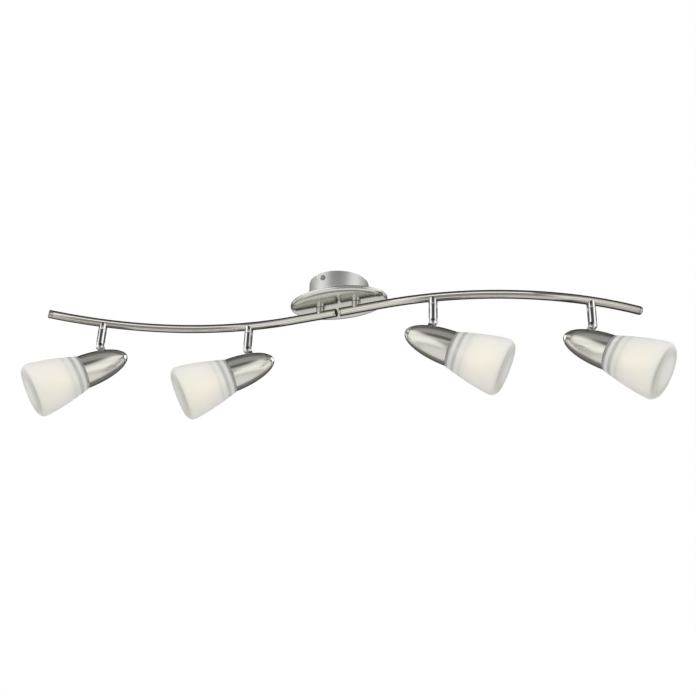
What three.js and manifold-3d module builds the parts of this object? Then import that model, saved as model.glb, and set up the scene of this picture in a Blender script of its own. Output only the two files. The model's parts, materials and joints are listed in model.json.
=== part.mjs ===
// Ceiling spotlight bar: a canopy and an oval plate carry two bent tubes, and four heads hang from them.
// Millimetres, +Z up. The origin is on the ceiling, at the middle of the canopy.
// Each head turns on its stem about the vertical and tilts in the stem's fork.

import * as THREE from 'three';
import { mergeVertices } from 'three/addons/utils/BufferGeometryUtils.js';
import Module from 'manifold-3d';

const wasm = await Module();
wasm.setup();

// ---------- driving dimensions ----------

const GAP = 0.3; // kept between pieces that rest on or pass through each other
const SPIN_GAP = 0.5; // around the swivel spigot

const canopyRadius = 40;
const canopyHeight = 25;
const canopyWall = 1.2;
const canopyNotchAngle = 226; // degrees from +X, where the rim is notched
const notchWidth = 2.6;
const notchDepth = 8;
const canopyScrewAngle = 242; // degrees from +X, the line through both side screws
const canopyScrewDrop = 8;

const bracketHalfLength = canopyRadius - canopyWall - 1.5;
const bracketWidth = 18;
const bracketSheet = 1.5;
const bracketFlange = 13;
const bracketSlotLength = 9;
const bracketSlotWidth = 4.5;
const bracketSlotStation = 24; // from the middle of the strap
const wireHoleRadius = 4;
const nutRadius = 5.5;
const nutHeight = 3;

const plateHalfLength = 68;
const plateHalfWidth = 42;
const plateHeight = 5.5;
const plateSheet = 1.5;
const plateBevel = 0.15; // share of the half width that slopes
const plateAngle = -18; // degrees, its long axis from +X

const tubeRadius = 5.75;
const tubeWall = 1;
const rodDrop = 41; // tube axis below the ceiling
const rodGap = 5.5; // from the middle of the bar to a tube's inner end
const rodStraight = 65; // straight stretch, counted from the middle of the bar
const rodBendRadius = 420;
const rodLength = 410; // from the middle of the bar to the outer end, along the tube
const endCapReach = 5;
const innerPlugReach = 3;

const postRadius = 6;
const postStation = 26; // along the tube from the middle of the bar
const postBore = 1.8;
const studRadius = 3;

const collarHeight = 6;
const spigotRadius = 3.2;
const pivotDrop = 77; // tilt axis below the ceiling
const slotWidth = 4.6;
const tongueThickness = 4;
const tongueRadius = 4.6;
const pinRadius = 1.8;
const screwHeadRadius = 3;
const screwHeadHeight = 1.4;
const stemBore = 1.9;

const bodyLength = 64; // bullet tip to the glass, along the lamp axis
const bodyRadius = 22.7;
const bodyWall = 1.3;
const capLength = 7;
const capPlug = 4;
const pivotStation = 27.6; // from the bullet's tip to the pivot, along the lamp axis
const axisDrop = 26.3; // lamp axis below the pivot
const glassFront = 138.5; // bullet tip to the front of the glass
const glassNeckRadius = 23;
const glassMaxRadius = 36.7;
const glassEdgeRadius = 9;
const glassFlare = 1.42; // above 1, the side wall flares most at the neck
const glassWall = 3.6;
const glassFloor = 122.5; // bullet tip to the end of the hollow
const glassNeckBore = 19.5;
const holderRadius = 12;
const holderBack = bodyLength - 19;
const holderFace = bodyLength + 4;
const bulbRadius = 6.5;
const bulbTip = 108;

// name, tube it hangs from, distance along that tube, direction that it points and its tilt, in degrees
const lamps = [
  { name: 'left_outer', side: -1, station: 336, pan: 200, tilt: 32 },
  { name: 'left_inner', side: -1, station: 132, pan: 191, tilt: 28 },
  { name: 'right_inner', side: 1, station: 132, pan: -3, tilt: 24 },
  { name: 'right_outer', side: 1, station: 336, pan: -19, tilt: 30.5 },
];

const plateSides = 28;
const lampSides = 16;
const stemSides = 12;
const smallSides = 8;

// ---------- materials ----------

function finish(color, roughness, metalness) {
  return new THREE.MeshStandardMaterial({ color, roughness, metalness });
}

const satinNickel = () => finish(0xb4b1a6, 0.38, 1);
const polishedChrome = () => finish(0xd8d9da, 0.1, 1);
const zincSteel = () => finish(0xa9adb0, 0.5, 1);
const ceramic = () => finish(0xe9e4d8, 0.6, 0);
const nylon = () => finish(0xe6e4dc, 0.55, 0);
const frostedGlass = () => finish(0xeceae2, 0.45, 0);
const clearGlass = () => finish(0xfdf3dc, 0.08, 0);

// ---------- solids ----------

// merges shared corners, drops flat slivers and turns the faces outward
function closed(geometry) {
  const bare = new THREE.BufferGeometry();
  bare.setAttribute('position', geometry.getAttribute('position'));
  if (geometry.index) bare.setIndex(geometry.index);
  const merged = mergeVertices(bare, 1e-4);
  const index = merged.index.array;
  const point = merged.getAttribute('position');
  const kept = [];
  let volume = 0;
  const a = new THREE.Vector3();
  const b = new THREE.Vector3();
  const c = new THREE.Vector3();
  for (let i = 0; i < index.length; i += 3) {
    const [i0, i1, i2] = [index[i], index[i + 1], index[i + 2]];
    if (i0 === i1 || i1 === i2 || i2 === i0) continue;
    kept.push(i0, i1, i2);
    a.fromBufferAttribute(point, i0);
    b.fromBufferAttribute(point, i1);
    c.fromBufferAttribute(point, i2);
    volume += a.dot(b.cross(c));
  }
  if (volume < 0) kept.reverse();
  merged.setIndex(kept);
  return merged;
}

function toSolid(geometry) {
  const clean = closed(geometry);
  return new wasm.Manifold(new wasm.Mesh({
    numProp: 3,
    vertProperties: new Float32Array(clean.getAttribute('position').array),
    triVerts: new Uint32Array(clean.index.array),
  }));
}

function toGeometry(solid) {
  const mesh = solid.getMesh();
  const geometry = new THREE.BufferGeometry();
  geometry.setAttribute('position', new THREE.BufferAttribute(new Float32Array(mesh.vertProperties), 3));
  geometry.setIndex(new THREE.BufferAttribute(new Uint32Array(mesh.triVerts), 1));
  return geometry;
}

function join(geometries) {
  return toGeometry(geometries.map(toSolid).reduce((sum, next) => sum.add(next)));
}

function cut(geometry, tools) {
  return toGeometry(tools.map(toSolid).reduce((rest, tool) => rest.subtract(tool), toSolid(geometry)));
}

// a body of revolution about Z; profile is [radius, height] pairs
function turnedZ(profile, sides = stemSides) {
  const points = profile.map(([radius, height]) => new THREE.Vector2(radius, height));
  return closed(new THREE.LatheGeometry(points, sides).rotateX(Math.PI / 2));
}

// a body of revolution about X; profile is [station, radius] pairs
function turnedX(profile, sides = lampSides) {
  const points = profile.map(([station, radius]) => new THREE.Vector2(radius, station));
  return closed(new THREE.LatheGeometry(points, sides).rotateZ(-Math.PI / 2));
}

function drum(radius, low, high, sides = smallSides) {
  return turnedZ([[0, low], [radius, low], [radius, high], [0, high]], sides);
}

function ringZ(inner, outer, low, high, sides = smallSides) {
  return turnedZ([[inner, low], [outer, low], [outer, high], [inner, high], [inner, low]], sides);
}

function drumAlongY(radius, low, high, sides = smallSides) {
  return drum(radius, low, high, sides).rotateX(-Math.PI / 2);
}

function block(lengthX, lengthY, lengthZ, x = 0, y = 0, z = 0) {
  return new THREE.BoxGeometry(lengthX, lengthY, lengthZ).translate(x, y, z);
}

const radians = THREE.MathUtils.degToRad;

function named(name, geometry, material) {
  const mesh = new THREE.Mesh(geometry, material);
  mesh.name = name;
  return mesh;
}

// ---------- canopy ----------

function ceilingBracket() {
  const strap = block(2 * bracketHalfLength, bracketWidth, bracketSheet, 0, 0, -bracketSheet / 2);
  const flanges = [-1, 1].map((end) =>
    block(bracketSheet, bracketWidth, bracketFlange,
      end * (bracketHalfLength - bracketSheet / 2), 0, -bracketFlange / 2));
  const slots = [-1, 1].map((end) =>
    block(bracketSlotLength, bracketSlotWidth, 3 * bracketSheet, end * bracketSlotStation, 0, 0));
  const threads = [-1, 1].map((end) =>
    drum(2, -3, 3).rotateY(Math.PI / 2)
      .translate(end * (bracketHalfLength - bracketSheet / 2), 0, -canopyScrewDrop));
  return cut(join([strap, ...flanges]), [...slots, ...threads]);
}

function canopyCup() {
  const inner = canopyRadius - canopyWall;
  const bend = 3;
  const shell = turnedZ([
    [0, -canopyHeight],
    [canopyRadius - bend, -canopyHeight],
    [canopyRadius - bend * 0.3, -canopyHeight + bend * 0.3],
    [canopyRadius, -canopyHeight + bend],
    [canopyRadius, 0],
    [inner, 0],
    [inner, -canopyHeight + bend],
    [inner - bend * 0.5, -canopyHeight + canopyWall],
    [0, -canopyHeight + canopyWall],
  ], plateSides);
  const notch = block(2 * canopyWall + 4, notchWidth, 2 * notchDepth, canopyRadius - 1, 0, 0)
    .rotateZ(radians(canopyNotchAngle));
  const holes = [0, 180].map((turn) =>
    drum(2.2, -4, 4).rotateY(Math.PI / 2).translate(canopyRadius - 1, 0, -canopyScrewDrop)
      .rotateZ(radians(canopyScrewAngle + turn)));
  return cut(shell, [notch, ...holes, ...studHoles(-canopyHeight - 2, -canopyHeight + 4), wireHole()]);
}

function terminalBlock() {
  const height = 9;
  const middle = -canopyHeight + canopyWall + GAP + height / 2;
  return block(12, 26, height, 21, 0, middle);
}

function canopyScrew() {
  const head = drum(3.4, 0, 1.8);
  const shank = drum(1.7, -5, 0.5);
  return join([head, shank]).rotateY(Math.PI / 2)
    .translate(canopyRadius + GAP, 0, -canopyScrewDrop);
}

// ---------- plate and posts ----------

function studHoles(low, high) {
  const place = rodPoint(postStation);
  return [-1, 1].map((side) =>
    drum(studRadius + GAP, low, high).translate(side * place.x, side * place.y, 0));
}

function wireHole() {
  return drum(wireHoleRadius, -canopyHeight - 8, -canopyHeight + 4);
}

function coverPlate() {
  const top = -canopyHeight - GAP;
  const low = top - plateHeight;
  const flat = 1 - plateBevel;
  const sheet = plateSheet / plateHalfWidth;
  const dish = turnedZ([
    [0, low],
    [flat, low],
    [1 - plateBevel * 0.3, low + plateHeight * 0.45],
    [1, top - plateSheet],
    [1, top],
    [1 - sheet, top],
    [1 - plateBevel * 0.3 - sheet, low + plateHeight * 0.45 + plateSheet],
    [flat - sheet, low + plateSheet],
    [0, low + plateSheet],
  ], plateSides);
  dish.scale(plateHalfLength, plateHalfWidth, 1).rotateZ(radians(plateAngle));
  return cut(dish, [...studHoles(low - 2, top + 2), wireHole()]);
}

// the tube's seat, cut into whatever stands on it
function saddleCutter() {
  const reach = 20;
  return drum(tubeRadius + 2 * GAP, -reach, reach, stemSides).rotateY(Math.PI / 2).translate(0, 0, -rodDrop);
}

function post() {
  const top = -canopyHeight - 2 * GAP - plateHeight;
  const seat = -rodDrop;
  const stem = join([
    drum(postRadius, seat, top, stemSides),
    drum(studRadius, seat, -canopyHeight + canopyWall + 6),
  ]);
  const bore = drum(postBore, seat - 9, 0);
  const spigot = ringZ(postBore, studRadius, -rodDrop + tubeRadius - 2.2, -rodDrop + tubeRadius + 1.2);
  return join([cut(stem, [bore, saddleCutter()]), spigot]);
}

function postNut() {
  const low = -canopyHeight + canopyWall + GAP;
  const hexagon = drum(nutRadius, low, low + nutHeight, 6);
  return cut(hexagon, [drum(studRadius + GAP, low - 1, low + nutHeight + 1)]);
}

// ---------- tubes ----------

function rodPoint(station) {
  const turn = (rodLength - rodStraight) / rodBendRadius;
  const reach = rodStraight + rodBendRadius * Math.sin(turn);
  const rise = rodBendRadius * (1 - Math.cos(turn));
  const heading = -Math.atan2(rise, reach); // brings the outer end onto the X axis
  const angle = Math.max(0, station - rodStraight) / rodBendRadius;
  const along = Math.min(station, rodStraight) + rodBendRadius * Math.sin(angle);
  const across = rodBendRadius * (1 - Math.cos(angle));
  return new THREE.Vector3(along, across, 0).applyAxisAngle(new THREE.Vector3(0, 0, 1), heading);
}

function rodHeading(station) {
  const ahead = rodPoint(station + 0.5).sub(rodPoint(station - 0.5));
  return Math.atan2(ahead.y, ahead.x);
}

class RodCurve extends THREE.Curve {
  constructor(from, to) {
    super();
    this.from = from;
    this.to = to;
  }

  getPoint(t) {
    const place = rodPoint(this.from + (this.to - this.from) * t);
    return place.setZ(-rodDrop);
  }
}

function circle(radius, sides) {
  const shape = new THREE.Shape();
  for (let i = 0; i < sides; i += 1) {
    const angle = (2 * Math.PI * (i + 0.5)) / sides;
    shape[i ? 'lineTo' : 'moveTo'](radius * Math.cos(angle), radius * Math.sin(angle));
  }
  shape.closePath();
  return shape;
}

function bentTube() {
  const section = circle(tubeRadius, 12);
  section.holes.push(circle(tubeRadius - tubeWall, smallSides));
  const tube = new THREE.ExtrudeGeometry(section, {
    steps: 18,
    bevelEnabled: false,
    extrudePath: new RodCurve(rodGap, rodLength - endCapReach),
  });
  const wall = tubeRadius + 1;
  const postHole = drum(studRadius + GAP, -rodDrop, -rodDrop + wall)
    .translate(rodPoint(postStation).x, rodPoint(postStation).y, 0);
  const stemHoles = lamps.filter((lamp) => lamp.side > 0).map((lamp) =>
    drum(spigotRadius + SPIN_GAP, -rodDrop - wall, -rodDrop)
      .translate(rodPoint(lamp.station).x, rodPoint(lamp.station).y, 0));
  return cut(tube, [postHole, ...stemHoles]);
}

// a plug with a shoulder; it points along +X and its shoulder starts at x = 0
function tubePlug(reach) {
  const bore = tubeRadius - tubeWall - GAP - 0.3;
  return turnedX([
    [-5, 0],
    [-5, bore],
    [GAP, bore],
    [GAP, tubeRadius],
    [reach * 0.55, tubeRadius],
    [reach * 0.88, tubeRadius * 0.72],
    [reach, 0],
  ], stemSides);
}

function onRod(geometry, station, backward = false) {
  const place = rodPoint(station);
  return geometry.rotateZ(rodHeading(station) + (backward ? Math.PI : 0))
    .translate(place.x, place.y, -rodDrop);
}

// ---------- stems ----------

function collar() {
  const top = -rodDrop;
  const low = -rodDrop - tubeRadius - collarHeight;
  const sleeve = ringZ(spigotRadius + SPIN_GAP, tubeRadius, low, top, stemSides);
  return cut(sleeve, [saddleCutter()]);
}

// a tube with a swivel spigot on top and a round-ended fork below; it turns about its own axis
function stemTube() {
  const top = -rodDrop - tubeRadius - collarHeight - GAP;
  const lip = -rodDrop - 1.6;
  const dome = [60, 30].map((angle) => [
    tubeRadius * Math.cos(radians(angle)),
    -pivotDrop - tubeRadius * Math.sin(radians(angle)),
  ]);
  const outside = turnedZ([
    [0, -pivotDrop - tubeRadius],
    ...dome,
    [tubeRadius, -pivotDrop],
    [tubeRadius, top],
    [spigotRadius, top],
    [spigotRadius, lip],
    [spigotRadius + 0.7, lip],
    [spigotRadius + 0.7, lip + 0.8],
    [0, lip + 0.8],
  ]);
  const slot = block(3 * tubeRadius, slotWidth, 20, 0, 0, -pivotDrop + 6.5 - 10);
  const wireBore = drum(stemBore, -pivotDrop, 0);
  const pinHole = drumAlongY(pinRadius + GAP, -10, 10).translate(0, 0, -pivotDrop);
  return cut(outside, [slot, wireBore, pinHole]);
}

function pivotScrew() {
  const reach = tubeRadius + GAP;
  return join([
    drumAlongY(pinRadius, -reach - 0.6, reach + 0.6),
    drumAlongY(screwHeadRadius, reach, reach + screwHeadHeight),
    drumAlongY(screwHeadRadius, -reach - screwHeadHeight, -reach),
  ]).translate(0, 0, -pivotDrop);
}

// ---------- heads; the pivot is at the origin and the lamp axis runs along +X ----------

function bulletRadius(station) {
  return bodyRadius * Math.sqrt(1 - (1 - station / bodyLength) ** 2);
}

function onLampAxis(geometry) {
  return geometry.translate(-pivotStation, 0, -axisDrop);
}

function lampBody() {
  const start = capLength + GAP;
  const stations = [0, 0.14, 0.34, 0.62, 1].map((t) => start + (bodyLength - start) * t);
  const outer = stations.map((station) => [station, bulletRadius(station)]);
  const inner = stations.map((station) => [station, bulletRadius(station) - bodyWall]).reverse();
  const shell = turnedX([...outer, ...inner, outer[0]]);
  const opening = block(2 * (tongueRadius + GAP), tongueThickness + 2 * GAP, 20, pivotStation, 0, bodyRadius);
  return onLampAxis(cut(shell, [opening]));
}

function endCap() {
  const stations = [0.08, 0.35, 1].map((t) => t * capLength);
  const outer = stations.map((station) => [station, bulletRadius(station)]);
  const plug = bulletRadius(capLength) - bodyWall - 2 * GAP;
  return onLampAxis(turnedX([
    [0, 0],
    ...outer,
    [capLength, plug],
    [capLength + capPlug, plug],
    [capLength + capPlug, 0],
  ]));
}

function knuckle() {
  const foot = bulletRadius(pivotStation) - bodyWall - 4.5;
  const tongue = join([
    drumAlongY(tongueRadius, -tongueThickness / 2, tongueThickness / 2, stemSides),
    block(2 * tongueRadius, tongueThickness, axisDrop - foot, 0, 0, (foot - axisDrop) / 2),
    block(16, 8, 2, 0, 0, foot - axisDrop),
  ]);
  const pinHole = drumAlongY(pinRadius + GAP, -10, 10);
  return cut(tongue, [pinHole]);
}

function lampHolder() {
  return onLampAxis(cut(
    turnedX([
      [holderBack, 0], [holderBack, holderRadius - 3], [holderBack + 4, holderRadius],
      [holderFace, holderRadius], [holderFace, 0],
    ]),
    [block(12, 12, 5, holderFace, 0, 0)],
  ));
}

function shadeRing() {
  const back = bodyLength - 6;
  const front = bodyLength + 7;
  const flange = bulletRadius(back) - bodyWall - 2 * GAP;
  const bore = holderRadius + GAP;
  const neck = glassNeckBore - 2 * GAP;
  return onLampAxis(turnedX([
    [back, bore], [back, flange], [bodyLength - 1, flange], [bodyLength - 1, neck], [front, neck],
    [front, neck - 2.4], [bodyLength + 1, neck - 2.4], [bodyLength + 1, bore], [back, bore],
  ]));
}

function glassRadius(station) {
  const share = (station - bodyLength) / (glassFront - glassEdgeRadius - bodyLength);
  return glassNeckRadius + (glassMaxRadius - glassNeckRadius) * (1 - (1 - share) ** glassFlare);
}

function glassShade() {
  const neck = bodyLength + GAP;
  const end = glassFloor - GAP;
  const along = (t) => neck + (end - neck) * t;
  const outer = [0, 0.25, 0.6, 1].map((t) => [along(t), glassRadius(along(t))]);
  const bore = (station) => Math.max(glassNeckBore, glassRadius(station) - glassWall);
  const inner = [1, 0.45, 0.1].map((t) => [along(t), bore(along(t))]);
  return onLampAxis(turnedX([...outer, ...inner, [neck, glassNeckBore], outer[0]]));
}

function glassFrontDisc() {
  const edge = glassFront - 1 - glassEdgeRadius;
  const rounding = [45, 90].map((angle) => [
    edge + glassEdgeRadius * Math.sin(radians(angle)),
    glassRadius(edge) - glassEdgeRadius * (1 - Math.cos(radians(angle))),
  ]);
  return onLampAxis(turnedX([
    [glassFloor, 0],
    [glassFloor, glassRadius(glassFloor)],
    [edge, glassRadius(edge)],
    ...rounding,
    [glassFront, 0],
  ]));
}

function bulb() {
  const base = holderFace + GAP;
  return onLampAxis(turnedX([
    [base, 0], [base, bulbRadius - 0.8], [base + 4, bulbRadius],
    [bulbTip - 7, bulbRadius], [bulbTip - 2.5, bulbRadius * 0.75], [bulbTip, 0],
  ], smallSides));
}

// ---------- assembly ----------

const fixture = new THREE.Group();

const bracket = named('ceiling_bracket', ceilingBracket(), zincSteel());
bracket.rotation.z = radians(canopyScrewAngle);
fixture.add(bracket);

fixture.add(named('canopy_cup', canopyCup(), satinNickel()));
for (const [name, turn] of [['canopy_screw_front', 0], ['canopy_screw_rear', 180]]) {
  const screw = named(name, canopyScrew(), polishedChrome());
  screw.rotation.z = radians(canopyScrewAngle + turn);
  fixture.add(screw);
}
fixture.add(named('cover_plate', coverPlate(), satinNickel()));

const wiring = new THREE.Group();
wiring.rotation.z = rodHeading(postStation) + Math.PI / 2;
wiring.add(named('terminal_block', terminalBlock(), nylon()));
fixture.add(wiring);

for (const [side, turn] of [['left', Math.PI], ['right', 0]]) {
  const half = new THREE.Group();
  half.rotation.z = turn;
  half.add(named(`rod_${side}`, bentTube(), satinNickel()));
  const outerPlug = onRod(tubePlug(endCapReach), rodLength - endCapReach);
  half.add(named(`rod_end_cap_${side}`, outerPlug, satinNickel()));
  const innerPlug = onRod(tubePlug(innerPlugReach), rodGap, true);
  half.add(named(`rod_inner_plug_${side}`, innerPlug, satinNickel()));
  const place = rodPoint(postStation);
  const postMesh = named(`post_${side}`, post(), satinNickel());
  const nutMesh = named(`post_nut_${side}`, postNut(), zincSteel());
  for (const mesh of [postMesh, nutMesh]) {
    mesh.position.set(place.x, place.y, 0);
    mesh.rotation.z = rodHeading(postStation);
    half.add(mesh);
  }
  fixture.add(half);
}

for (const lamp of lamps) {
  const place = rodPoint(lamp.station).multiplyScalar(lamp.side);
  const collarMesh = named(`stem_collar_${lamp.name}`, collar(), polishedChrome());
  collarMesh.position.copy(place);
  collarMesh.rotation.z = rodHeading(lamp.station);
  fixture.add(collarMesh);

  const arm = new THREE.Group();
  arm.position.copy(place);
  arm.rotation.z = radians(lamp.pan);
  arm.add(named(`stem_tube_${lamp.name}`, stemTube(), polishedChrome()));
  arm.add(named(`pivot_screw_${lamp.name}`, pivotScrew(), polishedChrome()));

  const head = new THREE.Group();
  head.position.set(0, 0, -pivotDrop);
  head.rotation.y = radians(lamp.tilt);
  head.add(named(`knuckle_${lamp.name}`, knuckle(), polishedChrome()));
  head.add(named(`lamp_body_${lamp.name}`, lampBody(), satinNickel()));
  head.add(named(`end_cap_${lamp.name}`, endCap(), polishedChrome()));
  head.add(named(`lamp_holder_${lamp.name}`, lampHolder(), ceramic()));
  head.add(named(`shade_ring_${lamp.name}`, shadeRing(), zincSteel()));
  head.add(named(`glass_shade_${lamp.name}`, glassShade(), frostedGlass()));
  head.add(named(`glass_front_${lamp.name}`, glassFrontDisc(), frostedGlass()));
  head.add(named(`bulb_${lamp.name}`, bulb(), clearGlass()));
  arm.add(head);
  fixture.add(arm);
}

export default fixture;
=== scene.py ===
# A ceiling spotlight bar, seen from below: satin nickel tubes and heads, frosted glass shades, lit.
import bmesh
import bpy
import math
from mathutils import Matrix, Vector
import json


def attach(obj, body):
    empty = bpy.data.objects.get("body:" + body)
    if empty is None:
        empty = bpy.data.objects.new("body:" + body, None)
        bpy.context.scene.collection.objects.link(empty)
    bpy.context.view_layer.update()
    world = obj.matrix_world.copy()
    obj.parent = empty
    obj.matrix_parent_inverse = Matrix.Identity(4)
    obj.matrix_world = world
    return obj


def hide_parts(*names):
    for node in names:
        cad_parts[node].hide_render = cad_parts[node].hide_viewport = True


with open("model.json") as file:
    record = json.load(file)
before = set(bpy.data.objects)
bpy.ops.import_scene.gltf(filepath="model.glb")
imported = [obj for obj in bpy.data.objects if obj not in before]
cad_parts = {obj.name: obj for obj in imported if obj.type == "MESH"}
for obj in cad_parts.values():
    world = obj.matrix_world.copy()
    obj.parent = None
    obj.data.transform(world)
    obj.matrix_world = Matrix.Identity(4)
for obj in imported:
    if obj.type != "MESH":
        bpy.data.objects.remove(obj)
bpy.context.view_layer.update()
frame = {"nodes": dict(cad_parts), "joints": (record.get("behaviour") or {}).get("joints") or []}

# ---------- dimensions, in millimetres, the same as the frame's ----------

MM = 0.001

CANOPY_RADIUS = 40.0
CANOPY_HEIGHT = 25.0
CANOPY_WALL = 1.2
CANOPY_NOTCH_ANGLE = 226.0
CANOPY_SCREW_ANGLE = 242.0
CANOPY_SCREW_DROP = 8.0
NOTCH_HALF_WIDTH = 1.3
NOTCH_STRAIGHT = 6.7  # from the rim to where its round bottom starts

PLATE_HALF_LENGTH = 68.0
PLATE_HALF_WIDTH = 42.0
PLATE_TOP = -25.3
PLATE_LOW = -30.8
PLATE_ANGLE = -18.0

TUBE_RADIUS = 5.75
TUBE_WALL = 1.0
ROD_DROP = 41.0
ROD_GAP = 5.5
ROD_STRAIGHT = 65.0
ROD_BEND_RADIUS = 420.0
ROD_LENGTH = 410.0
END_CAP_REACH = 5.0
INNER_PLUG_REACH = 3.0
PLUG_DEPTH = 5.0
POST_RADIUS = 6.0
POST_STATION = 26.0
POST_HOLE_RADIUS = 3.3
SPIGOT_HOLE_RADIUS = 3.7
SPIGOT_RADIUS = 3.2
SPIGOT_HEAD_RADIUS = 3.9
SADDLE_CLEARANCE = 0.15
COLLAR_HEIGHT = 6.0
COLLAR_LOW = -ROD_DROP - TUBE_RADIUS - COLLAR_HEIGHT

PIVOT_DROP = 77.0
SLOT_WIDTH = 4.6
TONGUE_THICKNESS = 4.0
TONGUE_RADIUS = 4.6
CROSS_PIN_RADIUS = 1.8
CROSS_HOLE_RADIUS = 2.1
TILT_STOP = 80.0  # degrees below level, where every head's tilt ends

BODY_LENGTH = 64.0
BODY_RADIUS = 22.7
BODY_WALL = 1.3
CAP_LENGTH = 7.0
SEAM_DEPTH = 0.4  # of the groove between the body and its end cap
PIVOT_STATION = 27.6
AXIS_DROP = 26.3
GLASS_FRONT = 138.5
GLASS_NECK_RADIUS = 23.0
GLASS_MAX_RADIUS = 36.7
GLASS_EDGE_RADIUS = 9.0
GLASS_WALL = 3.6
GLASS_FLOOR = 122.5
GLASS_NECK_BORE = 19.5
GLASS_FLARE = 1.42  # how fast the glass widens from its neck; 1 is a straight cone
HOLDER_BACK = BODY_LENGTH - 19
HOLDER_FACE = BODY_LENGTH + 4
HOLDER_RADIUS = 12.0
RING_BORE = 12.3
BULB_RADIUS = 6.5
BULB_TIP = 108.0
GAP = 0.3

# where each lamp hangs, as a distance along the tube from the middle of the bar
LAMPS = {"left_outer": -336.0, "left_inner": -132.0, "right_inner": 132.0, "right_outer": 336.0}
joints = {joint["name"]: joint for joint in frame["joints"]}

# ---------- mesh helpers ----------


def arc_corner(before, corner, after, reach, steps):
    """Points that round a corner of an outline, starting and ending reach away from it."""
    corner = Vector(corner)
    leg_in = Vector(before) - corner
    leg_out = Vector(after) - corner
    reach = min(reach, leg_in.length * 0.49, leg_out.length * 0.49)
    start = corner + leg_in.normalized() * reach
    end = corner + leg_out.normalized() * reach
    points = []
    for i in range(steps + 1):
        t = i / steps
        points.append(tuple(start * (1 - t) ** 2 + corner * 2 * t * (1 - t) + end * t ** 2))
    return points


def rounded(outline, reach=0.4, steps=3, loop=False):
    """An outline with its inner corners rounded; a point may carry its own reach as a third value."""
    count = len(outline)
    points = []
    for i, point in enumerate(outline):
        own = point[2] if len(point) > 2 else reach
        edge = not loop and i in (0, count - 1)
        if edge or own == 0:
            points.append(point[:2])
            continue
        points += arc_corner(outline[i - 1][:2], point[:2], outline[(i + 1) % count][:2], own, steps)
    return points


def turned(outline, sides=96, loop=False):
    """Vertices and faces of a body of revolution about X; the outline is (station, radius) pairs."""
    verts = []
    faces = []
    rings = []
    for station, radius in outline:
        if radius < 1e-6:
            rings.append([len(verts)])
            verts.append((station, 0.0, 0.0))
            continue
        rings.append(list(range(len(verts), len(verts) + sides)))
        for k in range(sides):
            angle = 2 * math.pi * k / sides
            verts.append((station, radius * math.cos(angle), radius * math.sin(angle)))
    pairs = list(zip(rings, rings[1:]))
    if loop:
        pairs.append((rings[-1], rings[0]))
    for first, second in pairs:
        for k in range(sides):
            n = (k + 1) % sides
            if len(first) == 1 and len(second) == 1:
                continue
            if len(first) == 1:
                faces.append((first[0], second[k], second[n]))
            elif len(second) == 1:
                faces.append((first[k], second[0], first[n]))
            else:
                faces.append((first[k], second[k], second[n], first[n]))
    return verts, faces


UPRIGHT = Matrix.Rotation(-math.pi / 2, 4, "Y")  # sends X to +Z


def make(name, shape, material, matrix=None, sharp=32.0, scale=MM):
    """A smooth-shaded object from vertices and faces in millimetres, placed by matrix (in metres)."""
    verts, faces = shape
    mesh = bpy.data.meshes.new(name)
    mesh.from_pydata([Vector(v) * scale for v in verts], [], faces)
    mesh.validate()
    mesh.update()
    face_outward(mesh)
    for polygon in mesh.polygons:
        polygon.use_smooth = True
    mesh.set_sharp_from_angle(angle=math.radians(sharp))
    piece = bpy.data.objects.new(name, mesh)
    bpy.context.scene.collection.objects.link(piece)
    if material:
        mesh.materials.append(material)
    if matrix:
        piece.matrix_world = matrix
    return piece


def face_outward(mesh):
    work = bmesh.new()
    work.from_mesh(mesh)
    bmesh.ops.recalc_face_normals(work, faces=work.faces)
    work.to_mesh(mesh)
    work.free()


def cut(piece, tools, sharp=32.0):
    """Cuts the tools out of piece and removes them."""
    bpy.context.view_layer.update()
    for tool in tools:
        modifier = piece.modifiers.new("work", "BOOLEAN")
        modifier.operation = "DIFFERENCE"
        modifier.solver = "EXACT"
        modifier.object = tool
    graph = bpy.context.evaluated_depsgraph_get()
    mesh = bpy.data.meshes.new_from_object(piece.evaluated_get(graph))
    piece.modifiers.clear()
    piece.data = mesh
    for polygon in mesh.polygons:
        polygon.use_smooth = True
    mesh.set_sharp_from_angle(angle=math.radians(sharp))
    for tool in tools:
        bpy.data.objects.remove(tool)
    return piece


def place(x, y, z=0.0, turn=0.0):
    """A matrix in metres from a position in millimetres and a turn about Z in radians."""
    return Matrix.Translation(Vector((x, y, z)) * MM) @ Matrix.Rotation(turn, 4, "Z")


def settle(piece, body, slot, *nodes):
    """The piece stands for the CAD nodes, which it hides, and moves with the body; slot is not used."""
    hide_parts(*nodes)
    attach(piece, body)
    return piece


def box_shape(x0, x1, y0, y1, z0, z1):
    verts = [(x, y, z) for x in (x0, x1) for y in (y0, y1) for z in (z0, z1)]
    faces = [(0, 1, 3, 2), (4, 6, 7, 5), (0, 4, 5, 1), (2, 3, 7, 6), (0, 2, 6, 4), (1, 5, 7, 3)]
    return verts, faces


def slab(outline, low, high, edge=0.3):
    """A plate with softened edges: an outline in X and Z, extruded along Y from low to high."""
    centre = Vector((sum(p[0] for p in outline), sum(p[1] for p in outline))) / len(outline)
    levels = [(low, edge), (low + edge * 0.3, edge * 0.3), (low + edge, 0.0),
              (high - edge, 0.0), (high - edge * 0.3, edge * 0.3), (high, edge)]
    verts = []
    count = len(outline)
    for level, inset in levels:
        for point in outline:
            away = Vector(point) - centre
            shifted = Vector(point) - away.normalized() * inset
            verts.append((shifted.x, level, shifted.y))
    faces = [tuple(reversed(range(count)))]
    for ring in range(len(levels) - 1):
        for k in range(count):
            n = (k + 1) % count
            base = ring * count
            faces.append((base + k, base + n, base + count + n, base + count + k))
    last = (len(levels) - 1) * count
    faces.append(tuple(range(last, last + count)))
    return verts, faces


# ---------- materials ----------


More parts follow.
